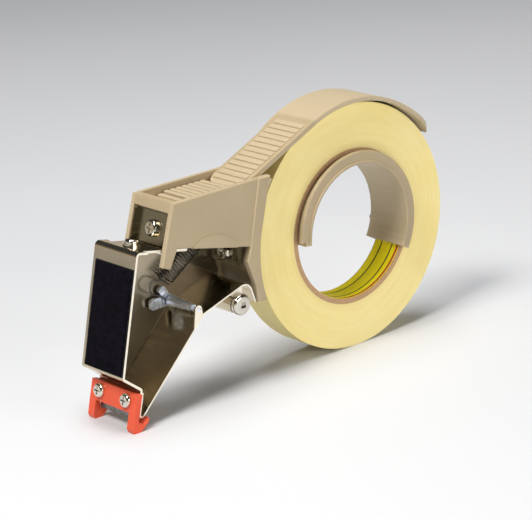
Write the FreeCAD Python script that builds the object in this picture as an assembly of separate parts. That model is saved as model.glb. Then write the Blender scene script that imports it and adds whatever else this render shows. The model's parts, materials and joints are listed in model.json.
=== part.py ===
import FreeCAD, Part
import os
from math import atan2, cos, hypot, radians, sin, tan

# Hand-held dispenser for strapping tape.  Millimetres, +Z up, floor at Z = 0.
# +X runs from the wiping plate at the front to the tape roll at the back, Y is the width.
# Outlines are written as (x, z) measured from the axis of the tape roll.

# tape roll
ROLL_X = 47.55
ROLL_R = 64.2
ROLL_Z = ROLL_R
CORE_R = 38.1
CORE_WALL = 2.65
TAPE_Y0 = -8.25
TAPE_Y1 = 9.75
PRINT_T = 0.25

# moulded frame
HALF_W = 15.3
WALL = 2.5
INNER = HALF_W - WALL
ARC_IN = 69.5
ARC_OUT = 71.6
WEB_Y0 = 10.4
WEB_Y1 = INNER
BAND_IN = 65.3
BAND_T = 2.2
BAND_HALF = 12.6
RAMP_TILT = 25.0
RAMP_RUN = 57.0
HUB_IN = 33.6
HUB_OUT = 37.3
HUB_LIP = 40.0
HUB_Y0 = -13.4

# swinging applicator, sheet metal
SHEET = 0.8
PLATE_T = 1.2
PLATE_HALF = 15.05
TILT = 12.7
SIDE_Y0 = 10.95
SIDE_Y1 = 11.75
PIVOT = (-84.4, -18.0)
ROD = (-109.8, -14.3)

# fasteners
FRAME_SCREW_R = 1.0
SHAFT_R = 2.0
ROLLER_R = 5.2


def vec(x, y, z):
    return FreeCAD.Vector(ROLL_X + x, y, ROLL_Z + z)


def polar(r, deg, centre=(0.0, 0.0)):
    return (centre[0] + r * cos(radians(deg)), centre[1] + r * sin(radians(deg)))


def prism(points, y0, y1):
    corners = [vec(x, y0, z) for x, z in points]
    face = Part.Face(Part.makePolygon(corners + corners[:1]))
    return face.extrude(FreeCAD.Vector(0, y1 - y0, 0))


def block(x0, x1, y0, y1, z0, z1):
    return Part.makeBox(x1 - x0, y1 - y0, z1 - z0, vec(x0, y0, z0))


def disc(centre, r, y0, y1):
    return Part.makeCylinder(r, y1 - y0, vec(centre[0], y0, centre[1]), FreeCAD.Vector(0, 1, 0))


def ring(centre, r_out, r_in, y0, y1):
    return disc(centre, r_out, y0, y1).cut(disc(centre, r_in, y0 - 1, y1 + 1))


def pin(base, axis, r, length):
    return Part.makeCylinder(r, length, base, axis)


def curve(r, a0, a1, y, centre=(0.0, 0.0)):
    start = polar(r, a0, centre)
    middle = polar(r, 0.5 * (a0 + a1), centre)
    end = polar(r, a1, centre)
    return Part.Arc(vec(start[0], y, start[1]), vec(middle[0], y, middle[1]), vec(end[0], y, end[1])).toShape()


def line(p, q, y):
    return Part.makeLine(vec(p[0], y, p[1]), vec(q[0], y, q[1]))


def extrude_edges(edges, y0, y1):
    face = Part.Face(Part.Wire(Part.__sortEdges__(edges)))
    return face.extrude(FreeCAD.Vector(0, y1 - y0, 0))


def sector(r_in, r_out, a0, a1, y0, y1):
    edges = [
        curve(r_in, a0, a1, y0),
        line(polar(r_in, a1), polar(r_out, a1), y0),
        curve(r_out, a1, a0, y0),
        line(polar(r_out, a0), polar(r_in, a0), y0),
    ]
    return extrude_edges(edges, y0, y1)


def side_edges(points, bends, offset, y):
    # one side of a bent strip: straight runs joined by concentric bend arcs
    count = len(points)
    heading = []
    for i in range(count - 1):
        dx = points[i + 1][0] - points[i][0]
        dz = points[i + 1][1] - points[i][1]
        size = hypot(dx, dz)
        heading.append((dx / size, dz / size))
    edges = []
    here = (points[0][0] - heading[0][1] * offset, points[0][1] + heading[0][0] * offset)
    for i in range(1, count - 1):
        a = heading[i - 1]
        b = heading[i]
        turn = atan2(a[0] * b[1] - a[1] * b[0], a[0] * b[0] + a[1] * b[1])
        side = 1.0 if turn > 0 else -1.0
        back = bends[i - 1] * tan(abs(turn) / 2)
        enter = (points[i][0] - a[0] * back, points[i][1] - a[1] * back)
        leave = (points[i][0] + b[0] * back, points[i][1] + b[1] * back)
        centre = (enter[0] - a[1] * side * bends[i - 1], enter[1] + a[0] * side * bends[i - 1])
        p = (enter[0] - a[1] * offset, enter[1] + a[0] * offset)
        q = (leave[0] - b[1] * offset, leave[1] + b[0] * offset)
        r = bends[i - 1] - side * offset
        mid = (0.5 * (p[0] + q[0]) - centre[0], 0.5 * (p[1] + q[1]) - centre[1])
        size = hypot(mid[0], mid[1])
        m = (centre[0] + mid[0] / size * r, centre[1] + mid[1] / size * r)
        edges.append(line(here, p, y))
        edges.append(Part.Arc(vec(p[0], y, p[1]), vec(m[0], y, m[1]), vec(q[0], y, q[1])).toShape())
        here = q
    last = heading[-1]
    end = (points[-1][0] - last[1] * offset, points[-1][1] + last[0] * offset)
    edges.append(line(here, end, y))
    return edges, end


def strip(points, bends, t, y0, y1):
    # constant-thickness sheet following a centre line, with a radius at every bend
    left, left_end = side_edges(points, bends, t / 2, y0)
    right, right_end = side_edges(points, bends, -t / 2, y0)
    left_start = left[0].Vertexes[0].Point
    right_start = right[0].Vertexes[0].Point
    caps = [Part.makeLine(left_start, right_start), line(left_end, right_end, y0)]
    return extrude_edges(left + right + caps, y0, y1)


def round_edges(shape, r, wanted):
    edges = [e for e in shape.Edges if wanted(e)]
    return shape.makeFillet(r, edges)


def save(name, solids):
    shape = Part.Compound(solids) if len(solids) > 1 else solids[0]
    shape.exportStep("parts/" + name + ".step")


def screw_y(x, z, y, sign, head_r, head_h, shank_r, shank_l, slot):
    # pan-head screw along Y; sign +1 puts the head on the +Y side of the plane y
    axis = FreeCAD.Vector(0, sign, 0)
    centre = vec(x, y, z)
    head = pin(centre, axis, head_r, head_h)
    head = round_edges(head, head_h * 0.6, lambda e: abs(e.BoundBox.Center.y - (y + sign * head_h)) < 1e-6
                       and e.BoundBox.XLength > head_r)
    shank = pin(centre, -axis, shank_r, shank_l)
    body = head.fuse(shank)
    for dx, dz in ((slot, 0.26 * slot), (0.26 * slot, slot)):
        low = min(y + sign * (head_h - 0.9), y + sign * (head_h + 1))
        cutter = Part.makeBox(2 * dx, 1.9, 2 * dz, vec(x - dx, low, z - dz))
        body = body.cut(cutter)
    return body


def turned_screw(base, axis, head_r, head_h, shank_r, shank_l, cross):
    # the same pan-head screw made upright, then laid along any axis
    head = Part.makeCylinder(head_r, head_h)
    head = round_edges(head, head_h * 0.6, lambda e: abs(e.BoundBox.Center.z - head_h) < 1e-6
                       and e.BoundBox.XLength > head_r)
    shank = Part.makeCylinder(shank_r, shank_l, FreeCAD.Vector(0, 0, 0), FreeCAD.Vector(0, 0, -1))
    body = head.fuse(shank)
    for dx, dy in ((cross, 0.24 * cross), (0.24 * cross, cross)):
        cutter = Part.makeBox(2 * dx, 2 * dy, 2.0, FreeCAD.Vector(-dx, -dy, head_h - 1.0))
        body = body.cut(cutter)
    turn = FreeCAD.Rotation(FreeCAD.Vector(0, 0, 1), axis)
    body.Placement = FreeCAD.Placement(base, turn)
    return body


# screws through the far side of the frame: (x, z, seat y)
PALM_SCREWS = [polar(61.5, a) + (WEB_Y1 + 2.2,) for a in (55, 95, 135)]
HEAD_SCREWS = [(-81.5, 26.5, HALF_W), (-75.5, 17.2, HALF_W)]
HUB_SCREWS = [polar(35.45, a) + (WEB_Y1,) for a in (-12, 78, 168)]
TAB = [(-86.0, 13.0), (-86.0, 30.5), (-75.0, 33.0), (-63.0, 33.0), (-60.0, 13.0)]
ANCHOR = (-82.5, 17.6)


def tape_winding():
    return [ring((0, 0), ROLL_R, CORE_R + CORE_WALL, TAPE_Y0, TAPE_Y1)]


def tape_core():
    return [ring((0, 0), CORE_R + CORE_WALL, CORE_R, TAPE_Y0, TAPE_Y1)]


def core_liner():
    return [ring((0, 0), CORE_R, CORE_R - PRINT_T, TAPE_Y0 + 0.6, TAPE_Y1 - 0.6)]


def roll_web():
    # flat C-shaped cheek behind the roll, with a tab that reaches into the head
    web = sector(HUB_IN, 61.0, -29, 190, WEB_Y0, WEB_Y1)
    web = web.fuse(sector(60.0, BAND_IN, 38, 190, WEB_Y0, WEB_Y1))
    web = web.fuse(prism(TAB, WEB_Y0, WEB_Y1)).removeSplitter()
    for x, z, seat in PALM_SCREWS + HEAD_SCREWS + HUB_SCREWS:
        web = web.cut(disc((x, z), FRAME_SCREW_R, WEB_Y0 - 1, WEB_Y1 + 1))
    return [web.cut(disc(ANCHOR, 1.5, WEB_Y0 - 1, WEB_Y1 + 1))]


def hub_arch():
    wall = sector(HUB_IN, HUB_OUT, -29, 181.5, HUB_Y0, WEB_Y0)
    lip = sector(HUB_OUT - 1, HUB_LIP, -29, 178, HUB_Y0, HUB_Y0 + 1.8)
    lip = round_edges(lip, 0.8, lambda e: abs(e.BoundBox.Center.y - HUB_Y0) < 1e-6 and e.BoundBox.XLength > 78)
    bead = sector(HUB_IN, HUB_IN + 1.5, -29, 181.5, HUB_Y0 - 0.8, HUB_Y0)
    bead = round_edges(bead, 0.45, lambda e: abs(e.BoundBox.Center.y - HUB_Y0 + 0.8) < 1e-6
                       and e.BoundBox.XLength > 60)
    arch = wall.fuse(lip).fuse(bead).removeSplitter()
    for x, z, seat in HUB_SCREWS:
        arch = arch.cut(disc((x, z), FRAME_SCREW_R, WEB_Y0 - 3.5, WEB_Y0 + 1))
    return [arch]


def ramp_point(run, lift):
    # a point on the straight ramp: run measured back from the nose, lift above its underside
    slope = radians(RAMP_TILT)
    foot = polar(BAND_IN + lift, 90 + RAMP_TILT)
    back = RAMP_RUN - run
    return (foot[0] - back * cos(slope), foot[1] - back * sin(slope))


def palm_edges(y):
    # side outline of the band: straight ramp tangent to the arc over the roll, slightly flared tail
    start = 90 + RAMP_TILT
    inner = [polar(BAND_IN, 58), polar(BAND_IN + 0.4, 46), polar(BAND_IN + 1.3, 35)]
    outer = [polar(BAND_IN + 3.2, 35), polar(BAND_IN + 0.5 + BAND_T, 46), polar(BAND_IN + BAND_T, 58)]
    return [
        line(ramp_point(0, 0), ramp_point(RAMP_RUN, 0), y),
        curve(BAND_IN, start, 58, y),
        Part.Arc(*[vec(x, y, z) for x, z in inner]).toShape(),
        line(inner[2], outer[0], y),
        Part.Arc(*[vec(x, y, z) for x, z in outer]).toShape(),
        curve(BAND_IN + BAND_T, 58, start, y),
        line(ramp_point(RAMP_RUN, BAND_T), ramp_point(0, BAND_T), y),
        line(ramp_point(0, BAND_T), ramp_point(0, 0), y),
    ]


def palm_plan():
    # plan outline of the band: U-shaped nose, near corner of the tail rounded off
    nose = ramp_point(0, 0)[0]
    tail = polar(BAND_IN + 3.2, 35)[0]
    h = BAND_HALF
    z = -20.0
    corners = [(nose + 7.5, -h), (tail - 9.0, -h), (tail, -h + 9.0), (tail, WEB_Y1), (nose + 7.5, WEB_Y1)]
    rounds = [(tail - 2.6, -h + 2.6), (nose + 0.6, 5.0), (nose + 0.6, -5.0), (nose, 0.0)]
    edges = [
        Part.makeLine(vec(corners[0][0], corners[0][1], z), vec(corners[1][0], corners[1][1], z)),
        Part.Arc(vec(corners[1][0], corners[1][1], z), vec(rounds[0][0], rounds[0][1], z),
                 vec(corners[2][0], corners[2][1], z)).toShape(),
        Part.makeLine(vec(corners[2][0], corners[2][1], z), vec(corners[3][0], corners[3][1], z)),
        Part.makeLine(vec(corners[3][0], corners[3][1], z), vec(corners[4][0], corners[4][1], z)),
        Part.Arc(vec(corners[4][0], corners[4][1], z), vec(nose + 2.2, h - 2.4, z),
                 vec(nose, 5.0, z)).toShape(),
        Part.makeLine(vec(nose, 5.0, z), vec(nose, -5.0, z)),
        Part.Arc(vec(nose, -5.0, z), vec(nose + 2.2, -h + 2.4, z), vec(corners[0][0], corners[0][1], z)).toShape(),
    ]
    face = Part.Face(Part.Wire(Part.__sortEdges__(edges)))
    return face.extrude(FreeCAD.Vector(0, 0, 120))


def palm_guard():
    band = extrude_edges(palm_edges(-BAND_HALF), -BAND_HALF, WEB_Y1)
    for i in range(14):
        foot = ramp_point(3.4 + 3.75 * i, BAND_T)
        tooth = Part.makeBox(2.9, 2 * BAND_HALF - 4.6, 0.9, FreeCAD.Vector(-1.45, -BAND_HALF + 2.3, -0.4))
        tooth = round_edges(tooth, 0.35, lambda e: e.BoundBox.YLength > 5 and e.BoundBox.ZMax > 0.4)
        tooth.Placement = FreeCAD.Placement(vec(foot[0], 0, foot[1]),
                                            FreeCAD.Rotation(FreeCAD.Vector(0, 1, 0), -RAMP_TILT))
        band = band.fuse(tooth)
    band = band.common(palm_plan())
    flange = sector(57.5, BAND_IN + BAND_T, 42, 150, WEB_Y1, WEB_Y1 + 2.2)
    band = band.fuse(flange).removeSplitter()
    for x, z, seat in PALM_SCREWS:
        band = band.cut(disc((x, z), FRAME_SCREW_R + 0.1, WEB_Y1 - 1, HALF_W + 1))
    return [band]


HEAD_SIDE = [(-121.4, 41.3), (-130.3, 11.7), (-125.3, 9.7), (-120.3, 18.9), (-76.3, 9.1),
             (-72.5, 8.3), (-66.0, 42.0)]
POST = [(-68.3, 42.0), (-71.9, 26.8), (-75.7, 8.4), (-78.1, 1.8), (-73.4, -11.2), (-72.0, -20.5)]


def post_edges(y):
    edges = [line(a, b, y) for a, b in zip(POST[:-1], POST[1:])]
    low = polar(ARC_IN, 197.0)
    edges.append(line(POST[-1], low, y))
    edges.append(curve(ARC_IN, 197.0, 163.0, y))
    high = polar(ARC_IN, 163.0)
    edges.append(line(high, (-60.9, 42.0), y))
    edges.append(line((-60.9, 42.0), POST[0], y))
    return edges


LUG = [(-118.5, 19.0), (-104.0, 4.0), (-93.0, -11.0), (-88.6, -18.0), (-80.2, -18.0), (-74.6, -14.2),
       (-72.6, -9.0), (-76.0, 9.6), (-90.0, 20.0)]


def outer_rims(plane):
    # true for the long edges of a wall's outside face
    return lambda e: abs(e.BoundBox.Center.y - plane) < 1e-6 and e.BoundBox.YLength < 1e-6 and e.Length > 4


def head_walls():
    near = round_edges(prism(HEAD_SIDE, -HALF_W, -INNER), 0.7, outer_rims(-HALF_W))
    far = prism(HEAD_SIDE, INNER, HALF_W)
    far = far.fuse(prism(LUG, INNER, HALF_W)).fuse(disc(PIVOT, 5.2, INNER, HALF_W)).removeSplitter()
    bulge = disc((-100.0, 2.5), 18.2, -HALF_W - 0.45, -HALF_W + 0.5)
    bulge = bulge.common(prism(HEAD_SIDE, -HALF_W - 2, -INNER))
    return near.fuse(bulge).fuse(far)


PANEL_LEAN = 0.3007
PANEL_AXIS = FreeCAD.Vector(-1, 0, PANEL_LEAN).normalize()


def on_panel(z, depth):
    # point on the leaning front panel at height z, the given distance behind its face
    return (-122.4 + (z - 26.7) * PANEL_LEAN + depth, z)


def panel_seat(lift):
    return vec(-122.4, 0, 26.7).add(PANEL_AXIS * lift)


def head_housing():
    body = head_walls()
    rib = extrude_edges(post_edges(-HALF_W - 0.8), -HALF_W - 0.8, -INNER)
    body = body.fuse(round_edges(rib, 0.75, outer_rims(-HALF_W - 0.8)))
    body = body.fuse(sector(ARC_IN, ARC_OUT, 146, 197, -INNER - 0.5, HALF_W))
    body = body.fuse(extrude_edges(post_edges(INNER), INNER, HALF_W))
    body = body.fuse(prism([(-121.4, 41.3), (-122.8, 36.6), (-119.4, 36.6), (-118.2, 41.3)], -INNER, INNER))
    body = body.fuse(prism([(-120.3, 36.6), (-70.0, 36.6), (-70.0, 34.9), (-120.3, 34.9)], -INNER, INNER))
    web = [on_panel(19.3, SHEET), on_panel(35.2, SHEET), on_panel(35.2, 3.2), on_panel(19.3, 3.2)]
    body = body.fuse(prism(web, -INNER, INNER))
    body = body.cut(block(-120.4, -115.8, -4.0, 4.0, 33.6, 34.4))
    body = body.cut(block(-125.6, -115.8, INNER - 0.7, INNER, 10.0, 34.4))
    body = body.fuse(pin(vec(-77.9, 0, 4.2), FreeCAD.Vector(1, 0, 0), 4.6, 7.5))
    for i in range(8):
        x = -108.0 + 3.75 * i
        top = 39.2 - (0.9 if i == 0 else 0.0)
        tooth = prism([(x - 1.6, 36.5), (x - 1.4, top), (x + 1.4, top), (x + 1.6, 36.5)],
                      -INNER + 1.4, INNER - 1.4)
        tooth = round_edges(tooth, 0.45, lambda e: e.BoundBox.YLength > 5 and e.BoundBox.ZMax > 38 + ROLL_Z)
        body = body.fuse(tooth)
    body = body.removeSplitter()
    body = body.cut(extrude_edges(palm_edges(-BAND_HALF - 0.1), -BAND_HALF - 0.1, WEB_Y1))
    body = body.cut(prism(TAB, WEB_Y0, WEB_Y1))
    body = body.cut(sector(60.0, ARC_OUT + 1, 150, 172, WEB_Y0, WEB_Y1))
    for x, z, seat in HEAD_SCREWS:
        body = body.cut(disc((x, z), FRAME_SCREW_R + 0.1, INNER - 1, HALF_W + 1))
    body = body.cut(disc(ANCHOR, 1.5, INNER - 1, INNER + 1.2))
    body = body.cut(disc(PIVOT, SHAFT_R, INNER - 1, HALF_W + 1))
    body = body.cut(pin(vec(-79.0, 0, 4.2), FreeCAD.Vector(1, 0, 0), 1.5, 5.5))
    body = body.cut(pin(panel_seat(0.0), -PANEL_AXIS, 1.5, 6.0))
    return [body]


def head_bracket():
    # stamped chassis strip: front tab, run under the thumb rest, rear tab against the arc wall boss
    rear = block(-78.7, -77.9, -11.8, 10.0, -1.2, 34.0)
    front = prism([on_panel(19.5, 0), on_panel(34.4, 0), on_panel(34.4, SHEET), on_panel(19.5, SHEET)],
                  -12.4, INNER)
    top = block(-119.9, -77.9, -4.0, 4.0, 33.6, 34.4)
    outline = [(-122.8, 34.4), (-128.9, 13.9), (-125.6, 12.4), (-121.0, 20.6), (-118.6, 19.6), (-104.0, 4.7),
               (-93.0, -10.4), (-88.4, -18.0), (-80.4, -17.6), (-75.2, -14.0), (-73.9, -9.0), (-76.9, 2.5),
               (-78.0, 8.6), (-79.5, 12.8), (-88.0, 12.8), (-88.0, 34.4)]
    cheek = prism(outline, INNER - 0.7, INNER).fuse(disc(PIVOT, 4.8, INNER - 0.7, INNER))
    cheek = cheek.cut(disc(PIVOT, SHAFT_R, INNER - 1, INNER + 1))
    plate = rear.fuse(front).fuse(top).fuse(cheek).removeSplitter()
    for y in (-8.6, -7.0, 6.4, 8.0):
        plate = plate.cut(block(-80.0, -76.0, y, y + 0.8, 1.0, 7.5))
    plate = plate.cut(pin(panel_seat(1.0), -PANEL_AXIS, 1.6, 2.6))
    plate = plate.cut(pin(vec(-80.0, 0, 4.2), FreeCAD.Vector(1, 0, 0), 1.6, 3.0))
    return [plate]


def bracket_screws():
    front = turned_screw(panel_seat(0.0), PANEL_AXIS, 4.1, 2.3, 1.5, 4.2, 2.4)
    rear = turned_screw(vec(-78.7, 0, 4.2), FreeCAD.Vector(-1, 0, 0), 4.1, 2.3, 1.5, 4.2, 2.4)
    return [front, rear]


def frame_screws():
    found = []
    for x, z, seat in PALM_SCREWS + HEAD_SCREWS + HUB_SCREWS:
        found.append(screw_y(x, z, seat, 1.0, 1.8, 1.3, FRAME_SCREW_R, 4.4, 1.0))
    return found


def spring_anchor():
    stud = disc(ANCHOR, 1.5, 3.2, INNER + 1.2)
    return [stud.fuse(disc(ANCHOR, 2.6, 2.4, 3.4)).removeSplitter()]


SPRING_Y = 6.4
SPRING_R = 3.95
WIRE_R = 0.4


def wire_path(points, r):
    # round wire through the points, with a ball at every joint
    body = None
    for a, b in zip(points[:-1], points[1:]):
        run = b.sub(a)
        piece = pin(a, run, r, run.Length)
        body = piece if body is None else body.fuse(piece)
    for p in points[1:-1]:
        body = body.fuse(Part.makeSphere(r, p))
    return body


def tension_spring():
    # extension spring with a hook at each end
    low = vec(-112.4, SPRING_Y, -2.6)
    slope = atan2(20.2, 29.9)
    along = FreeCAD.Vector(cos(slope), 0, sin(slope))
    coils = 15.5
    pitch = 1.65
    helix = Part.makeHelix(pitch, pitch * coils, SPRING_R)
    profile = Part.Wire(Part.makeCircle(WIRE_R, FreeCAD.Vector(SPRING_R, 0, 0), FreeCAD.Vector(0, 1, 0)))
    coil = helix.makePipeShell([profile], True, True)
    turn = FreeCAD.Rotation(FreeCAD.Vector(0, 0, 1), along)
    coil.Placement = FreeCAD.Placement(low, turn)
    radius = turn.multVec(FreeCAD.Vector(SPRING_R, 0, 0))
    start = low.add(radius)
    finish = low.sub(radius).add(along * (pitch * coils))
    lower = []
    for a in (320, 290, 260, 230, 200, 170):
        x, z = polar(2.4, a, ROD)
        lower.append(vec(x, SPRING_Y, z))
    for x, z in ((-113.6, -12.0), (-116.2, -10.6), (-118.8, -9.4), (-120.7, -8.0), (-121.7, -6.2), (-121.6, -4.3),
                 (-120.3, -2.5), (-118.4, -1.7), (-116.4, -1.9), (-113.6, -3.4)):
        lower.append(vec(x, SPRING_Y, z))
    lower.append(start)
    upper = [finish, vec(ANCHOR[0] - 3.4, SPRING_Y, ANCHOR[1] - 1.2)]
    for a in (160, 120, 80, 40, 0, -40, -80):
        x, z = polar(1.98, a, ANCHOR)
        upper.append(vec(x, SPRING_Y, z))
    ball = Part.makeSphere(WIRE_R + 0.12, start).fuse(Part.makeSphere(WIRE_R + 0.12, finish))
    hooks = wire_path(lower, WIRE_R).fuse(wire_path(upper, WIRE_R)).fuse(ball)
    return [coil.fuse(hooks)]


# front of the applicator: s runs down the sheet, n points forward
FACE_TOP = (-144.64, 22.87)
FACE_FAR = 16.4
FLANGE_END = (-112.5, 16.0)
FOOT_TOP = (-150.5, -45.4)
FOOT_TILT = 13.8
PAD_T = 1.3
BACKING_T = 0.3
GUARD_HALF = 17.45
LEG_W = 4.7


def on_sheet(origin, tilt, s, n):
    a = radians(tilt)
    return (origin[0] - s * sin(a) - n * cos(a), origin[1] - s * cos(a) + n * sin(a))


def on_face(s, n):
    return on_sheet(FACE_TOP, TILT, s, n)


def on_foot(s, n):
    return on_sheet(FOOT_TOP, FOOT_TILT, s, n)


def across_foot(s, y, n0, n1, r):
    # cylinder square to the foot sheets, from depth n0 to n1
    base = on_foot(s, n0)
    a = radians(FOOT_TILT)
    return pin(vec(base[0], y, base[1]), FreeCAD.Vector(-cos(a), 0, sin(a)), r, n1 - n0)


def front_plate():
    half = PLATE_T / 2
    path = [FLANGE_END, on_face(half, -half), on_face(60.8, -half), on_foot(-1.6, -3.0), on_foot(9.0, -3.0)]
    plate = strip(path, [1.8, 1.0, 1.2], PLATE_T, -PLATE_HALF, FACE_FAR)
    for side in (-1.0, 1.0):
        outer = side * (FACE_FAR + 1)
        inner = -12.4 if side < 0 else SIDE_Y1
        y0 = min(outer, inner)
        plate = plate.cut(block(-138.0, -100.0, y0, y0 + abs(outer - inner), 5.0, 25.0))
        relief = pin(vec(-138.0, inner + side * 1.0, 10.0), FreeCAD.Vector(0, 0, 1), 1.3, 20.0)
        plate = plate.cut(relief)
    plate = plate.cut(pin(vec(-136.0, 0, 10.0), FreeCAD.Vector(0, 0, 1), 1.6, 20.0))
    for y in (-SCREW_GAP, SCREW_GAP):
        plate = plate.cut(across_foot(4.4, y, -4.0, -2.0, 1.6))
    return plate


def guide_plate():
    path = [on_foot(-0.2, -4.0), (-150.2, -61.06), (-106.6, -17.3), (-77.4, -8.15), (-73.7, -19.6)]
    plate = strip(path, [1.3, 1.5, 5.0], SHEET, -PLATE_HALF, PLATE_HALF)
    plate = plate.cut(block(-121.0, -70.0, SIDE_Y1, PLATE_HALF + 1, -34.0, 0.0))
    ear = prism([(-113.2, -23.6), (-107.2, -17.6), (-107.7, -14.3), (-111.9, -14.3)], -PLATE_HALF,
                -PLATE_HALF + SHEET)
    ear = ear.fuse(disc(ROD, 2.1, -PLATE_HALF, -PLATE_HALF + SHEET)).removeSplitter()
    plate = plate.fuse(ear).removeSplitter()
    plate = plate.cut(disc(ROD, 1.0, -PLATE_HALF - 1, -PLATE_HALF + 2))
    for y in (-SCREW_GAP, SCREW_GAP):
        plate = plate.cut(across_foot(4.4, y, -5.0, -3.0, 1.6))
    return plate


def side_plate(front, guide):
    # closing cheek on the far side, with a tab turned under the top flange
    outline = [(-78.2, -8.4), (-112.5, 9.4), (-114.6, 16.4), (-143.0, 21.9), (-155.4, -35.4), (-147.5, -42.4),
               (-145.8, -45.2), (-138.5, -47.6), (-137.3, -47.4), (-106.9, -16.4)]
    plate = prism(outline, SIDE_Y0, SIDE_Y1)
    tab = prism([(-141.2, 21.1), (-131.0, 19.1), (-131.0, 18.15), (-141.2, 20.15)], -5.0, SIDE_Y1)
    plate = plate.fuse(tab).removeSplitter()
    plate = plate.cut(front).cut(guide)
    plate = plate.cut(disc(ROD, 1.6, SIDE_Y0 - 1, SIDE_Y1 + 1))
    return plate.cut(pin(vec(-136.0, 0, 10.0), FreeCAD.Vector(0, 0, 1), 2.2, 20.0))


def hinge_barrel(guide):
    # tube under the inclined sheet that turns on the pivot shaft
    tube = disc(PIVOT, ROLLER_R, -14.4, SIDE_Y1)
    saddle = prism([(-87.4, -17.0), (-81.4, -17.0), (-81.4, -8.0), (-87.4, -8.0)], -14.4, SIDE_Y1)
    below = prism([(-90.0, -12.55), (-90.0, -30.0), (-76.0, -30.0), (-76.0, -8.21)], -16.0, 16.0)
    saddle = saddle.common(below)
    return tube.fuse(saddle).removeSplitter().cut(guide).cut(disc(PIVOT, SHAFT_R + 0.05, -16.0, 16.0))


def pivot_shaft():
    shaft = disc(PIVOT, SHAFT_R, -14.9, HALF_W).fuse(disc(PIVOT, 4.4, HALF_W, 18.5)).removeSplitter()
    return shaft.cut(disc(PIVOT, 1.25, -15.5, -6.0))


def pivot_washer():
    return ring(PIVOT, 4.4, 1.35, -15.7, -14.9)


def pivot_screw():
    head = pin(vec(PIVOT[0], -15.7, PIVOT[1]), FreeCAD.Vector(0, -1, 0), 5.35, 2.8)
    head = round_edges(head, 1.9, lambda e: e.BoundBox.YLength < 1e-6 and abs(e.BoundBox.Center.y + 18.5) < 1e-6
                       and e.BoundBox.XLength > 5)
    body = head.fuse(disc(PIVOT, 1.25, -15.7, -6.2)).removeSplitter()
    return body.cut(block(PIVOT[0] - 1.5, PIVOT[0] + 1.5, -19.0, -17.0, PIVOT[1] - 1.5, PIVOT[1] + 1.5))


def cross_rod():
    taper = Part.makeCone(1.7, 3.1, 16.9, vec(ROD[0], -11.3, ROD[1]), FreeCAD.Vector(0, 1, 0))
    neck = disc(ROD, 1.0, -PLATE_HALF - 0.5, -11.0)
    return taper.fuse(neck).fuse(disc(ROD, 1.6, 5.0, SIDE_Y1 + 0.5)).removeSplitter()


def rod_clip():
    # hub with two flat finger wings
    body = disc(ROD, 3.0, 7.2, SIDE_Y0)
    for angle, reach, width in ((121.0, 8.3, 4.2), (182.0, 11.0, 5.4)):
        wing = Part.makeBox(reach - 1.8, 1.8, width, FreeCAD.Vector(1.8, 7.6, -width / 2))
        wing = round_edges(wing, 1.4, lambda e: e.BoundBox.YLength > 1 and e.BoundBox.Center.x > 3)
        wing.rotate(FreeCAD.Vector(0, 0, 0), FreeCAD.Vector(0, 1, 0), -angle)
        wing.translate(vec(ROD[0], 0, ROD[1]))
        body = body.fuse(wing)
    return body.removeSplitter().cut(disc(ROD, 1.62, 7.0, 12.0))


def wipe_pad():
    return prism([on_face(8.6, BACKING_T), on_face(8.6, BACKING_T + PAD_T), on_face(59.6, BACKING_T + PAD_T),
                  on_face(59.6, BACKING_T)], -14.3, 13.8)


def pad_backing():
    return prism([on_face(8.3, 0.0), on_face(8.3, BACKING_T), on_face(59.9, BACKING_T), on_face(59.9, 0.0)],
                 -14.6, 14.1)


SCREW_GAP = 10.15


def blade():
    # toothed cutter held behind the guard
    top = on_foot(0.8, -2.4)
    sheet = prism([top, on_foot(0.8, -1.8), on_foot(13.6, -1.8), on_foot(13.6, -2.4)], -12.5, 12.5)
    a = radians(FOOT_TILT)
    count = 16
    for i in range(count):
        y0 = -12.5 + 25.0 * i / count
        y1 = -12.5 + 25.0 * (i + 1) / count
        corners = []
        for s, y in ((14.0, y0 - 0.3), (14.0, y1 + 0.3), (13.7, y1), (12.0, 0.5 * (y0 + y1)), (13.7, y0)):
            x, z = on_foot(s, -3.0)
            corners.append(vec(x, y, z))
        notch = Part.Face(Part.makePolygon(corners + corners[:1]))
        sheet = sheet.cut(notch.extrude(FreeCAD.Vector(-2 * cos(a), 0, 2 * sin(a))))
    for y in (-SCREW_GAP, SCREW_GAP):
        sheet = sheet.cut(across_foot(4.4, y, -4.0, 0.0, 1.6))
    return sheet


def blade_guard():
    plate = prism([on_foot(0.0, -1.8), on_foot(0.0, 1.2), on_foot(9.8, 1.2), on_foot(9.8, -1.8)],
                  -GUARD_HALF, GUARD_HALF)
    floor = -ROLL_Z
    leg = [on_foot(0.0, -1.8), on_foot(0.0, 1.2), on_foot(17.6, 1.2), (-155.0, floor), (-151.0, floor),
           (-146.2, -60.6), (-145.6, -58.4), (-149.6, -60.4), on_foot(13.6, -1.8)]
    body = plate
    for y0 in (-GUARD_HALF, GUARD_HALF - LEG_W):
        body = body.fuse(prism(leg, y0, y0 + LEG_W))
    body = body.removeSplitter()
    for y in (-SCREW_GAP, SCREW_GAP):
        body = body.cut(across_foot(4.4, y, -4.0, 3.0, 1.6))
    return body


def foot_axis():
    a = radians(FOOT_TILT)
    return FreeCAD.Vector(-cos(a), 0, sin(a))


def guard_screws():
    found = []
    for y in (-SCREW_GAP, SCREW_GAP):
        x, z = on_foot(4.4, 1.2)
        found.append(turned_screw(vec(x, y, z), foot_axis(), 3.5, 2.3, 1.55, 8.6, 2.1))
    return found


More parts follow.
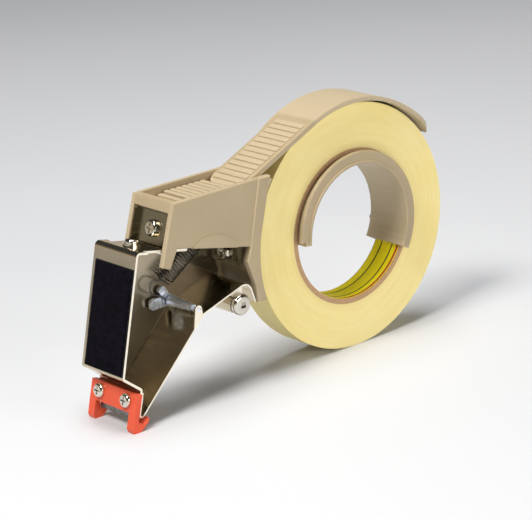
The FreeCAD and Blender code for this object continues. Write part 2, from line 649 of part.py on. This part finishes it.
def hex_nut(base, axis, across, r, h):
    corners = []
    for i in range(7):
        a = radians(60 * i)
        corners.append(FreeCAD.Vector(across / 3 ** 0.5 * cos(a), across / 3 ** 0.5 * sin(a), 0))
    nut = Part.Face(Part.makePolygon(corners)).extrude(FreeCAD.Vector(0, 0, h))
    nut = nut.cut(Part.makeCylinder(r, h + 2, FreeCAD.Vector(0, 0, -1)))
    nut.Placement = FreeCAD.Placement(base, FreeCAD.Rotation(FreeCAD.Vector(0, 0, 1), axis))
    return nut


def guard_nuts():
    found = []
    for y in (-SCREW_GAP, SCREW_GAP):
        x, z = on_foot(4.4, -4.45)
        found.append(hex_nut(vec(x, y, z), -foot_axis(), 5.5, 1.55, 2.0))
    return found


def flange_axis():
    corner = on_face(PLATE_T / 2, -PLATE_T / 2)
    a = atan2(corner[1] - FLANGE_END[1], FLANGE_END[0] - corner[0])
    return FreeCAD.Vector(sin(a), 0, cos(a))


def flange_seat(lift):
    # a point above (or below) the mid-plane of the top flange at the screw
    corner = on_face(PLATE_T / 2, -PLATE_T / 2)
    t = (-136.0 - corner[0]) / (FLANGE_END[0] - corner[0])
    z = corner[1] + t * (FLANGE_END[1] - corner[1])
    axis = flange_axis()
    return vec(-136.0 + axis.x * lift, 0, z + axis.z * lift)


def flange_screw():
    # pan head with a captive washer
    screw = turned_screw(flange_seat(PLATE_T / 2 + 0.9), flange_axis(), 3.6, 2.5, 1.55, 5.5, 2.3)
    return screw.fuse(pin(flange_seat(PLATE_T / 2), flange_axis(), 4.4, 0.95)).removeSplitter()


def flange_nut():
    return hex_nut(flange_seat(-1.45), -flange_axis(), 5.5, 1.55, 2.0)


os.makedirs("parts", exist_ok=True)

FRONT = front_plate()
GUIDE = guide_plate()
NODES = {
    "tape_winding": tape_winding(),
    "tape_core": tape_core(),
    "core_liner": core_liner(),
    "roll_web": roll_web(),
    "hub_arch": hub_arch(),
    "palm_guard": palm_guard(),
    "head_housing": head_housing(),
    "head_bracket": head_bracket(),
    "bracket_screws": bracket_screws(),
    "frame_screws": frame_screws(),
    "spring_anchor": spring_anchor(),
    "tension_spring": tension_spring(),
    "pivot_shaft": [pivot_shaft()],
    "pivot_washer": [pivot_washer()],
    "pivot_screw": [pivot_screw()],
    "front_plate": [FRONT],
    "guide_plate": [GUIDE],
    "side_plate": [side_plate(FRONT, GUIDE)],
    "hinge_barrel": [hinge_barrel(GUIDE)],
    "cross_rod": [cross_rod()],
    "rod_clip": [rod_clip()],
    "wipe_pad": [wipe_pad()],
    "pad_backing": [pad_backing()],
    "blade": [blade()],
    "blade_guard": [blade_guard()],
    "guard_screws": guard_screws(),
    "guard_nuts": guard_nuts(),
    "flange_screw": [flange_screw()],
    "flange_nut": [flange_nut()],
}

for name, solids in NODES.items():
    save(name, solids)
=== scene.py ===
import json
import math
import random

import bmesh
import bpy
from mathutils import Matrix, Vector, noise


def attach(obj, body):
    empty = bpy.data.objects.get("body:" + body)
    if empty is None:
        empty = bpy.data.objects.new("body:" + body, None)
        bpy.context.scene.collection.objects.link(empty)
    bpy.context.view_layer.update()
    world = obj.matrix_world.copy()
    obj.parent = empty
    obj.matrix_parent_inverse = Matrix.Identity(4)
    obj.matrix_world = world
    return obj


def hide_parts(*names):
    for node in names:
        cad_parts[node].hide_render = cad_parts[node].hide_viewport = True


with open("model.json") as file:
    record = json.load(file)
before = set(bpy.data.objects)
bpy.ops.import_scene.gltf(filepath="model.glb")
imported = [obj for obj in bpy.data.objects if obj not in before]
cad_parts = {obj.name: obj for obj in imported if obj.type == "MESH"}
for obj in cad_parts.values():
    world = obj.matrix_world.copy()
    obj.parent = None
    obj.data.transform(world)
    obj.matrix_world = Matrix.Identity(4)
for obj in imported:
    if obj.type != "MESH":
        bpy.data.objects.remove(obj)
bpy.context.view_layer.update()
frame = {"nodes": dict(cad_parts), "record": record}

NODES = frame["nodes"]
SCENE = bpy.context.scene

# the roll's axis, in metres
AXIS_X = 0.04755
AXIS_Z = 0.0642

# the camera: its place measured from the roll's axis, its two picture directions and its lens in millimetres
CAMERA_PLACE = Vector((AXIS_X - 0.73110, -0.78143, AXIS_Z + 0.32679))
CAMERA_RIGHT = Vector((0.74431, -0.66621, -0.04650))
CAMERA_UP = Vector((0.23776, 0.19928, 0.95066))
CAMERA_LENS = 147.44
CAMERA_SENSOR = 36.0


# ---------------------------------------------------------------- camera

def look_camera():
    """A long lens in front of the head, to the left and above."""
    data = bpy.data.cameras.new("view_camera")
    data.lens = CAMERA_LENS
    data.sensor_width = CAMERA_SENSOR
    data.clip_start = 0.05
    data.clip_end = 20.0
    camera = bpy.data.objects.new("view_camera", data)
    SCENE.collection.objects.link(camera)
    right = CAMERA_RIGHT.normalized()
    back = right.cross(CAMERA_UP).normalized()
    up = back.cross(right).normalized()
    turn = Matrix((right, up, back)).transposed()
    camera.matrix_world = Matrix.Translation(CAMERA_PLACE) @ turn.to_4x4()
    SCENE.camera = camera


look_camera()


# ---------------------------------------------------------------- materials

def fill_ramp(ramp, stops):
    """Set a colour ramp to the (place, colour) stops given."""
    while len(ramp.elements) < len(stops):
        ramp.elements.new(0.5)
    for element, (spot, colour) in zip(ramp.elements, stops):
        element.position = spot
        element.color = colour + (1.0,)


class Nodes:
    """Small helper that wires a material's node tree."""

    def __init__(self, name):
        self.material = bpy.data.materials.new(name)
        self.material.use_nodes = True
        self.tree = self.material.node_tree
        self.shader = self.tree.nodes["Principled BSDF"]
        self.place = self.add("ShaderNodeTexCoord").outputs["Object"]

    def add(self, kind, **settings):
        node = self.tree.nodes.new(kind)
        for key, value in settings.items():
            setattr(node, key, value)
        return node

    def link(self, a, b):
        self.tree.links.new(a, b)

    def put(self, socket, value):
        self.shader.inputs[socket].default_value = value

    def scaled(self, scale):
        node = self.add("ShaderNodeMapping")
        node.inputs["Scale"].default_value = scale
        self.link(self.place, node.inputs["Vector"])
        return node.outputs["Vector"]

    def noise(self, scale, detail=2.0, rough=0.5, where=None):
        node = self.add("ShaderNodeTexNoise")
        node.inputs["Scale"].default_value = scale
        node.inputs["Detail"].default_value = detail
        node.inputs["Roughness"].default_value = rough
        self.link(where or self.place, node.inputs["Vector"])
        return node.outputs["Fac"]

    def ramp(self, fac, stops):
        node = self.add("ShaderNodeValToRGB")
        fill_ramp(node.color_ramp, stops)
        self.link(fac, node.inputs["Fac"])
        return node.outputs["Color"]

    def span(self, value, a, b, c, d):
        """The value's range a to b, stretched to c to d."""
        node = self.add("ShaderNodeMapRange")
        node.inputs["From Min"].default_value = a
        node.inputs["From Max"].default_value = b
        node.inputs["To Min"].default_value = c
        node.inputs["To Max"].default_value = d
        self.link(value, node.inputs["Value"])
        return node.outputs["Result"]

    def math(self, operation, a, b=None):
        node = self.add("ShaderNodeMath", operation=operation)
        for i, value in enumerate((a, b)):
            if value is None:
                continue
            if isinstance(value, (int, float)):
                node.inputs[i].default_value = value
            else:
                self.link(value, node.inputs[i])
        return node.outputs["Value"]

    def mix(self, fac, a, b):
        node = self.add("ShaderNodeMix", data_type="RGBA")
        for socket, value in (("Factor", fac), ("A", a), ("B", b)):
            wanted = [s for s in node.inputs if s.name == socket and s.enabled][0]
            if isinstance(value, (int, float)):
                wanted.default_value = value
            elif isinstance(value, tuple):
                wanted.default_value = value + (1.0,)
            else:
                self.link(value, wanted)
        return [s for s in node.outputs if s.enabled][0]

    def bump(self, height, strength, distance):
        """A bump laid over any bump that the shader already has."""
        node = self.add("ShaderNodeBump")
        node.inputs["Strength"].default_value = strength
        node.inputs["Distance"].default_value = distance
        self.link(height, node.inputs["Height"])
        earlier = self.shader.inputs["Normal"].links
        if earlier:
            self.link(earlier[0].from_socket, node.inputs["Normal"])
        self.link(node.outputs["Normal"], self.shader.inputs["Normal"])

    def colour(self, socket):
        self.link(socket, self.shader.inputs["Base Color"])

    def rough(self, socket):
        self.link(socket, self.shader.inputs["Roughness"])


def painted_rim_highlight(m, base, rim_light, amount):
    """Painted highlight: a lighter colour on sharp rims, found by pointiness, standing in for the light that
    the edges catch.
    """
    point = m.add("ShaderNodeNewGeometry").outputs["Pointiness"]
    grain = m.noise(240.0, 3.0, 0.6)
    spot = m.math("ADD", point, m.span(grain, 0.0, 1.0, -0.02, 0.02))
    return m.mix(m.span(spot, 0.52, 0.60, 0.0, amount), base, rim_light)


def frame_plastic():
    """Tan moulded plastic with a fine grain and faint darker scuffs."""
    m = Nodes("frame_plastic_look")
    cloud = m.noise(28.0, 4.0, 0.55)
    base = m.ramp(cloud, [(0.3, (0.385, 0.305, 0.190)), (0.7, (0.425, 0.340, 0.215))])
    scuff = m.noise(900.0, 2.0, 0.7, where=m.scaled((1.0, 1.0, 0.25)))
    base = m.mix(m.span(scuff, 0.62, 0.75, 0.0, 0.25), base, (0.30, 0.23, 0.14))
    # painted highlight: lighter colour on the frame's sharp rims
    m.colour(painted_rim_highlight(m, base, (0.56, 0.47, 0.32), 0.55))
    m.rough(m.span(cloud, 0.3, 0.7, 0.36, 0.46))
    m.put("Specular IOR Level", 0.45)
    m.bump(m.noise(2600.0, 3.0, 0.6), 0.16, 0.00025)
    m.bump(m.noise(45.0, 1.0), 0.05, 0.0012)
    return m.material


def plated(name, tint, low, high, streak, edge_highlight=False):
    """Plated steel of roughness low to high; when its last argument is set, the edge faces at its two sides
    get a painted highlight, a pale cream colour, and a rougher finish.
    """
    m = Nodes(name)
    grain = m.noise(60.0, 4.0, 0.6, where=m.scaled(streak))
    tone = m.noise(35.0, 3.0, 0.5)
    dull = tuple(c * 0.82 for c in tint)
    base = m.ramp(tone, [(0.3, dull), (0.65, tint)])
    rough = m.span(grain, 0.3, 0.75, low, high)
    if edge_highlight:
        # painted highlight: pale cream colour on the edge faces that face sideways, found by their normal
        split = m.add("ShaderNodeSeparateXYZ")
        m.link(m.add("ShaderNodeNewGeometry").outputs["Normal"], split.inputs["Vector"])
        edge_highlight_mask = m.span(m.math("ABSOLUTE", split.outputs["Y"]), 0.85, 0.97, 0.0, 1.0)
        base = m.mix(edge_highlight_mask, base, (0.93, 0.87, 0.74))
        rough = m.math("MAXIMUM", rough, m.math("MULTIPLY", edge_highlight_mask, 0.42))
    m.colour(base)
    m.put("Metallic", 1.0)
    m.rough(rough)
    m.bump(grain, 0.012, 0.0001)
    m.bump(m.noise(14.0, 0.0), 0.05, 0.0010)
    return m.material


def metal_painted_reflection():
    """Bright metal on turned and pressed small parts, tinted blue-white: a painted reflection of pale blue
    surroundings.
    """
    m = Nodes("bright_metal_painted_reflection_look")
    tone = m.noise(420.0, 4.0, 0.6)
    # painted reflection: the blue-white base colour stands in for the pale blue surroundings that the bright
    # metal mirrors
    m.colour(m.ramp(tone, [(0.3, (0.70, 0.77, 0.89)), (0.7, (0.86, 0.91, 1.0))]))
    m.put("Metallic", 0.70)
    m.rough(m.span(tone, 0.3, 0.7, 0.20, 0.32))
    m.bump(tone, 0.12, 0.0001)
    return m.material


def spring_steel():
    """Dark oiled wire."""
    m = Nodes("spring_steel_look")
    tone = m.noise(300.0, 3.0)
    m.colour(m.ramp(tone, [(0.3, (0.10, 0.095, 0.085)), (0.7, (0.22, 0.21, 0.19))]))
    m.put("Metallic", 1.0)
    m.rough(m.span(tone, 0.2, 0.8, 0.28, 0.42))
    return m.material


def blade_steel():
    """Dark hardened strip, ground across its length."""
    m = Nodes("blade_steel_look")
    grain = m.noise(90.0, 4.0, 0.6, where=m.scaled((1.0, 12.0, 1.0)))
    m.colour(m.ramp(grain, [(0.3, (0.16, 0.155, 0.15)), (0.7, (0.30, 0.29, 0.28))]))
    m.put("Metallic", 1.0)
    m.rough(m.span(grain, 0.2, 0.8, 0.25, 0.42))
    m.bump(grain, 0.2, 0.0001)
    return m.material


def guard_plastic():
    """Orange-red moulded plastic, with a painted highlight lighter at its rims."""
    m = Nodes("guard_plastic_look")
    cloud = m.noise(60.0, 3.0, 0.5)
    base = m.ramp(cloud, [(0.3, (0.57, 0.020, 0.008)), (0.7, (0.66, 0.030, 0.011))])
    # painted highlight: lighter colour on the guard's sharp rims
    m.colour(painted_rim_highlight(m, base, (0.90, 0.17, 0.07), 0.5))
    m.rough(m.span(m.noise(140.0, 3.0), 0.3, 0.7, 0.26, 0.40))
    m.put("Specular IOR Level", 0.30)
    m.put("Coat Weight", 0.06)
    m.put("Coat Roughness", 0.2)
    m.bump(m.noise(1800.0, 2.0), 0.12, 0.0002)
    return m.material


def from_axis(m):
    """Distance from the roll's axis, angle round it and place along it."""
    split = m.add("ShaderNodeSeparateXYZ")
    m.link(m.place, split.inputs["Vector"])
    dx = m.math("SUBTRACT", split.outputs["X"], AXIS_X)
    dz = m.math("SUBTRACT", split.outputs["Z"], AXIS_Z)
    square = m.math("ADD", m.math("MULTIPLY", dx, dx), m.math("MULTIPLY", dz, dz))
    return m.math("SQRT", square), m.math("ARCTAN2", dz, dx), split.outputs["Y"]


def tape_edge():
    """Wound layers seen on edge: fine rings, slow bands and faint strands."""
    m = Nodes("tape_edge_look")
    radius, angle, y = from_axis(m)
    polar = m.add("ShaderNodeCombineXYZ")
    m.link(radius, polar.inputs["X"])
    m.link(m.math("MULTIPLY", angle, 0.004), polar.inputs["Y"])
    m.link(m.math("MULTIPLY", y, 0.05), polar.inputs["Z"])
    where = polar.outputs["Vector"]
    fine = m.noise(5200.0, 2.0, 0.6, where=where)
    band = m.noise(420.0, 3.0, 0.6, where=where)
    blotch = m.noise(26.0, 3.0, 0.5)
    base = m.ramp(band, [(0.30, (0.85, 0.70, 0.27)),
                         (0.55, (0.88, 0.74, 0.31)),
                         (0.75, (0.90, 0.77, 0.36))])
    base = m.mix(m.span(fine, 0.25, 0.75, 0.0, 0.16), base, (0.70, 0.55, 0.19))
    base = m.mix(m.span(blotch, 0.35, 0.7, 0.0, 0.35), base, (0.90, 0.82, 0.46))
    rim = m.span(radius, 0.0405, 0.0440, 0.35, 0.0)
    base = m.mix(rim, base, (0.72, 0.55, 0.22))
    m.colour(base)
    m.rough(m.span(fine, 0.3, 0.7, 0.42, 0.60))
    m.put("Subsurface Weight", 0.12)
    m.put("Subsurface Radius", (0.004, 0.003, 0.0015))
    m.put("Subsurface Scale", 1.0)
    m.put("Specular IOR Level", 0.35)
    m.bump(fine, 0.35, 0.00012)
    m.bump(band, 0.18, 0.0003)
    return m.material


def core_board():
    """Wound brown board, its plies seen on edge."""
    m = Nodes("core_board_look")
    radius, angle, _ = from_axis(m)
    polar = m.add("ShaderNodeCombineXYZ")
    m.link(radius, polar.inputs["X"])
    m.link(m.math("MULTIPLY", angle, 0.01), polar.inputs["Y"])
    ply = m.noise(3000.0, 3.0, 0.6, where=polar.outputs["Vector"])
    fibre = m.noise(900.0, 4.0, 0.7)
    base = m.ramp(ply, [(0.3, (0.34, 0.19, 0.095)), (0.7, (0.56, 0.36, 0.20))])
    m.colour(m.mix(m.span(fibre, 0.4, 0.8, 0.0, 0.35), base, (0.64, 0.46, 0.28)))
    m.put("Roughness", 0.75)
    m.bump(fibre, 0.4, 0.0002)
    return m.material


# the liner's plain bands: middle along the axis, half width, ink
LINER_BANDS = (
    (-0.0030, 0.0004, (0.02, 0.018, 0.012)),
    (0.0045, 0.0004, (0.02, 0.018, 0.012)),
    (-0.0068, 0.0006, (0.45, 0.03, 0.02)),
)


def core_print():
    """Yellow paper liner with two thin dark bands and a red one."""
    m = Nodes("core_print_look")
    y = from_axis(m)[2]
    cloud = m.noise(70.0, 3.0)
    base = m.ramp(cloud, [(0.3, (0.92, 0.78, 0.010)), (0.7, (0.97, 0.85, 0.018))])
    fibre = m.noise(1500.0, 3.0)
    base = m.mix(m.span(fibre, 0.5, 0.8, 0.0, 0.2), base, (0.72, 0.55, 0.02))
    for middle, half, ink in LINER_BANDS:
        stripe = m.add("ShaderNodeMath", operation="COMPARE")
        m.link(y, stripe.inputs[0])
        stripe.inputs[1].default_value = middle
        stripe.inputs[2].default_value = half
        base = m.mix(stripe.outputs["Value"], base, ink)
    m.colour(base)
    m.rough(m.span(fibre, 0.3, 0.7, 0.45, 0.60))
    m.put("Specular IOR Level", 0.25)
    m.bump(fibre, 0.1, 0.0001)
    return m.material


def pad_cloth(name, dark, light):
    """Matt pile or felt, mottled between two near-black tones."""
    m = Nodes(name)
    fleck = m.noise(1400.0, 3.0, 0.7)
    patch = m.noise(330.0, 4.0, 0.6)
    base = m.ramp(fleck, [(0.3, dark), (0.75, light)])
    m.colour(m.mix(m.span(patch, 0.40, 0.62, 0.0, 0.85), base, dark))
    m.put("Roughness", 1.0)
    m.put("Sheen Weight", 0.015)
    m.put("Sheen Roughness", 0.7)
    m.put("Specular IOR Level", 0.02)
    m.bump(fleck, 0.8, 0.0006)
    return m.material


LOOK = {
    "frame_plastic": frame_plastic(),
    # the plated sheet gets the painted edge highlight
    "plated_steel": plated("plated_sheet_look", (0.60, 0.515, 0.375), 0.13, 0.21, (1.0, 1.0, 9.0), True),
    "satin_steel": plated("satin_sheet_look", (0.47, 0.40, 0.29), 0.25, 0.28, (0.4, 0.4, 0.6)),
    # painted shade: a darker olive copy of the plated sheet, for the head bracket that sits in shade
    "shaded_plated_steel": plated("shaded_sheet_look", (0.30, 0.27, 0.195), 0.20, 0.32, (1.0, 1.0, 9.0)),
    "polished_steel": plated("polished_steel_look", (0.74, 0.70, 0.62), 0.05, 0.12, (2.0, 2.0, 2.0)),
    "metal_painted_reflection": metal_painted_reflection(),
    "spring_steel": spring_steel(),
    "blade_steel": blade_steel(),
    "guard_plastic": guard_plastic(),
    "pad_fabric": pad_cloth("pad_pile_look", (0.0012, 0.0009, 0.0022), (0.0100, 0.0080, 0.0180)),
    "pad_backing": pad_cloth("pad_backing_look", (0.012, 0.012, 0.014), (0.03, 0.03, 0.034)),
    "tape_film": tape_edge(),
    "core_board": core_board(),
    "core_print": core_print(),
}
SLOT_OF = {row["node"]: row["material_slot"] for row in frame["record"]["subparts"]}

# nodes whose look differs from their slot's usual one; the head bracket's is a painted-shade copy of the
# plated sheet, and the cross rod and clip carry a painted blue-white reflection
FINISH_OF = {
    "head_bracket": "shaded_plated_steel",
    "side_plate": "satin_steel",
    "cross_rod": "metal_painted_reflection",
    "rod_clip": "metal_painted_reflection",
}
POLISHED = (
    "bracket_screws", "frame_screws", "spring_anchor",
    "pivot_washer", "pivot_screw",
    "guard_screws", "guard_nuts",
    "flange_screw", "flange_nut",
)
for fitting in POLISHED:
    FINISH_OF[fitting] = "polished_steel"

for name, obj in NODES.items():
    look = LOOK[FINISH_OF.get(name, SLOT_OF[name])]
    obj.data.materials.clear()
    obj.data.materials.append(look)


# ---------------------------------------------------------------- pile pad

# the front plate's lean and its top corner, then the pad on it: from s0 to s1 down the plate, half its
# width, its shift sideways, and from n0 to n1 out from the plate
PAD_TILT = math.radians(12.7)
PAD_TOP = Vector((AXIS_X - 0.14464, 0.0, AXIS_Z + 0.02287))
PAD_DOWN = Vector((-math.sin(PAD_TILT), 0.0, -math.cos(PAD_TILT)))
PAD_OUT = Vector((-math.cos(PAD_TILT), 0.0, math.sin(PAD_TILT)))
PAD_S0, PAD_S1, PAD_HALF = 0.0087, 0.0595, 0.01395
PAD_SHIFT = -0.00025
PAD_N0, PAD_N1 = 0.0003, 0.00158

PAD_ROWS, PAD_COLUMNS = 126, 70
TUFTS = 8200
BORDER_EVERY = 5
TUFT_RADIUS = 0.00006
TUFT_INSET = 0.0002


def on_pad(s, y, n):
    """The point s down the front plate, y across it and n out from it."""
    point = PAD_TOP + PAD_DOWN * s + PAD_OUT * n
    point.y = y + PAD_SHIFT
    return point


def pile_height(s, y):
    """Crowned towards the middle, rolled off at the border, clumped like brushed pile."""
    border = min(s - PAD_S0, PAD_S1 - s, PAD_HALF - abs(y))
    roll = 1.0 - math.exp(-max(border, 0.0) / 0.00045)
    crown = 1.0 - 0.18 * (y / PAD_HALF) ** 2
    clump = noise.noise(Vector((s, y, 0.0)) * 900.0) + 0.6 * noise.noise(Vector((s, y, 0.01)) * 2100.0)
    wave = noise.noise(Vector((s, y, 0.02)) * 140.0)
    return PAD_N0 + 0.00030 + roll * (0.00062 * crown + 0.00006 * wave) + 0.00007 * clump * (0.4 + roll)


def pad_slab(mesh):
    """The pad's closed body: a displaced top, a flat back and a frayed border."""
    rows, columns = PAD_ROWS, PAD_COLUMNS
    grid = {}
    for side in (0, 1):
        for i in range(rows + 1):
            for j in range(columns + 1):
                s = PAD_S0 + (PAD_S1 - PAD_S0) * i / rows
                y = -PAD_HALF + 2 * PAD_HALF * j / columns
                fray = 0.00016 * noise.noise(Vector((s, y, 0.03)) * 1500.0)
                s_out = s + (fray if i in (0, rows) else 0.0)
                y_out = y + (fray if j in (0, columns) else 0.0)
                n = pile_height(s, y) if side else PAD_N0
                grid[side, i, j] = mesh.verts.new(on_pad(s_out, y_out, n))
    for i in range(rows):
        for j in range(columns):
            mesh.faces.new([grid[1, i, j], grid[1, i + 1, j], grid[1, i + 1, j + 1], grid[1, i, j + 1]])
            mesh.faces.new([grid[0, i, j], grid[0, i, j + 1], grid[0, i + 1, j + 1], grid[0, i + 1, j]])
    rim = [(i, 0) for i in range(rows)] + [(rows, j) for j in range(columns)]
    rim += [(i, columns) for i in range(rows, 0, -1)] + [(0, j) for j in range(columns, 0, -1)]
    for a, b in zip(rim, rim[1:] + rim[:1]):
        mesh.faces.new([grid[1, a[0], a[1]], grid[0, a[0], a[1]], grid[0, b[0], b[1]], grid[1, b[0], b[1]]])


def pile_pad():
    """The wiping pad's pile, bonded to its backing on the front plate."""
    mesh = bmesh.new()
    pad_slab(mesh)
    dice = random.Random(7)
    for k in range(TUFTS):
        if k % BORDER_EVERY == 0:
            along = dice.random() * 2 * (PAD_S1 - PAD_S0 + 2 * PAD_HALF)
            s, y = border_spot(along, 0.00025 * dice.random())
        else:
            s = dice.uniform(PAD_S0 + TUFT_INSET, PAD_S1 - TUFT_INSET)
            y = dice.uniform(-PAD_HALF + TUFT_INSET, PAD_HALF - TUFT_INSET)
        tuft(mesh, dice, s, y)
    bmesh.ops.recalc_face_normals(mesh, faces=mesh.faces)
    data = bpy.data.meshes.new("wipe_pad_pile")
    mesh.to_mesh(data)
    mesh.free()
    for polygon in data.polygons:
        polygon.use_smooth = True
    piece = bpy.data.objects.new("wipe_pad_pile", data)
    SCENE.collection.objects.link(piece)
    data.materials.append(LOOK["pad_fabric"])
    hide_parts("wipe_pad")
    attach(piece, "applicator")


def border_spot(along, inset):
    """A point a little inside the pad's outline, the given way round it."""
    tall, wide = PAD_S1 - PAD_S0, 2 * PAD_HALF
    if along < tall:
        return PAD_S0 + along, -PAD_HALF + inset
    along -= tall
    if along < wide:
        return PAD_S1 - inset, -PAD_HALF + along
    along -= wide
    if along < tall:
        return PAD_S1 - along, PAD_HALF - inset
    return PAD_S0 + inset, PAD_HALF - (along - tall)


def tuft(mesh, dice, s, y):
    """One short fibre end, a slim closed spike leaning its own way."""
    root = pile_height(s, y) - 0.00008
    lean_s = dice.gauss(0.0, 0.00013) + 0.00006
    lean_y = dice.gauss(0.0, 0.00013)
    edge = PAD_HALF - abs(y)
    if edge < 0.0006:
        lean_y += math.copysign(0.00016, y)
    tip = min(root + dice.uniform(0.00022, 0.00048), PAD_N1)
    turn = dice.uniform(0.0, 2.1)
    foot = []
    for k in range(3):
        a = turn + k * math.tau / 3
        foot_s = s + TUFT_RADIUS * math.cos(a)
        foot_y = y + TUFT_RADIUS * math.sin(a)
        foot.append(mesh.verts.new(on_pad(foot_s, foot_y, root)))
    top = mesh.verts.new(on_pad(s + lean_s, y + lean_y, tip))
    mesh.faces.new(foot)
    for k in range(3):
        mesh.faces.new([foot[k], foot[(k + 1) % 3], top])


pile_pad()


# ---------------------------------------------------------------- studio

FLOOR_SIZE = 6.0

# each light: name, place, size, watts, tint; all aim a little above the floor's middle
LIGHT_AIM = Vector((0.0, 0.0, 0.05))
LIGHTS = (
    ("key", (-0.90, -0.16, 1.30), (0.45, 0.45), 21.0, (1.0, 0.96, 0.89)),
    ("top", (0.10, 0.05, 1.55), (0.80, 0.80), 15.0, (1.0, 0.98, 0.94)),
    ("fill", (0.15, -1.6, 0.60), (1.2, 0.6), 12.0, (1.0, 0.96, 0.90)),
)

# the room's light from the horizon and below (0) to straight overhead (1)
SKY_STOPS = (
    (0.0, (0.80, 0.78, 0.74)),
    (0.10, (0.52, 0.44, 0.31)),
    (0.30, (0.10, 0.095, 0.08)),
    (0.60, (0.045, 0.050, 0.060)),
    (1.0, (0.03, 0.045, 0.09)),
)


def floor():
    """A plain pale floor."""
    bpy.ops.mesh.primitive_plane_add(size=FLOOR_SIZE, location=(0.6, 0.6, 0.0))
    plane = bpy.context.object
    plane.name = "floor"
    m = Nodes("floor_look")
    m.colour(m.ramp(m.noise(1.5, 2.0), [(0.3, (0.64, 0.665, 0.71)), (0.7, (0.68, 0.70, 0.74))]))
    m.put("Roughness", 0.6)
    plane.data.materials.append(m.material)


def area(name, place, size, watts, tint):
    """A soft rectangular light, aimed at the object."""
    data = bpy.data.lights.new(name, "AREA")
    data.shape = "RECTANGLE"
    data.size = size[0]
    data.size_y = size[1]
    data.energy = watts
    data.color = tint
    light = bpy.data.objects.new(name, data)
    SCENE.collection.objects.link(light)
    light.location = place
    toward = LIGHT_AIM - Vector(place)
    light.rotation_euler = toward.to_track_quat("-Z", "Y").to_euler()


def sky():
    """Dim room overhead, paler towards the horizon."""
    world = bpy.data.worlds.new("studio_world")
    SCENE.world = world
    world.use_nodes = True
    tree = world.node_tree
    place = tree.nodes.new("ShaderNodeTexCoord")
    split = tree.nodes.new("ShaderNodeSeparateXYZ")
    tree.links.new(place.outputs["Generated"], split.inputs["Vector"])
    tone = tree.nodes.new("ShaderNodeValToRGB")
    fill_ramp(tone.color_ramp, SKY_STOPS)
    tree.links.new(split.outputs["Z"], tone.inputs["Fac"])
    back = tree.nodes["Background"]
    tree.links.new(tone.outputs["Color"], back.inputs["Color"])
    back.inputs["Strength"].default_value = 1.0


floor()
for light_row in LIGHTS:
    area(*light_row)
sky()
SCENE.view_settings.view_transform = "Standard"
